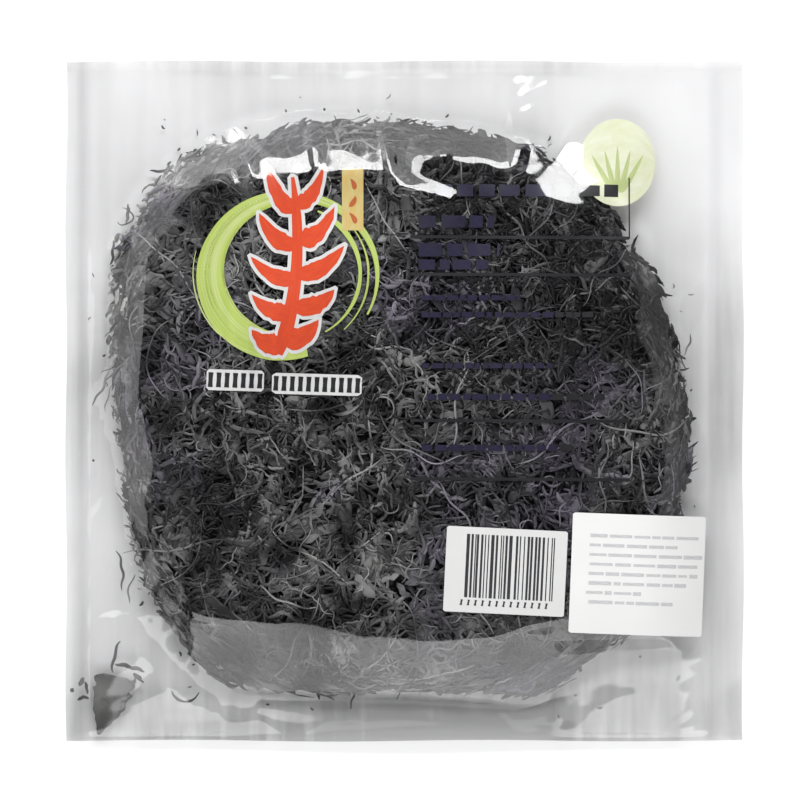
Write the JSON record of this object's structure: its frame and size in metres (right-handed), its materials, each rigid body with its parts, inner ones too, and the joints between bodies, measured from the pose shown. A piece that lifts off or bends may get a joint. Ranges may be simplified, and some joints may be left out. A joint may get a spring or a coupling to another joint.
{
  "type": "bag of dried seaweed",
  "caption": "Square clear sealed bag lying on its back, full of a round pressed cake of dried dark seaweed, with two paper stickers on its front.",
  "frame": {"origin": "on the table under the middle of the bag", "axes": "+Z out of the bag's front, +Y towards its top edge, +X towards its right seal as its front is read"},
  "size_m": [0.24, 0.241, 0.0173],
  "materials": {
    "clear_film": "glossy clear film, wrinkled",
    "dried_seaweed": "dry pressed fronds, purple black, low sheen",
    "barcode_paper": "smooth sticker paper with black bars",
    "info_paper": "smooth sticker paper with grey lines",
    "film_print": "ink printed on the film"
  },
  "bodies": {
    "root": {"bag": "clear_film", "label_barcode": "barcode_paper", "label_info": "info_paper"}
  },
  "joints": []
}
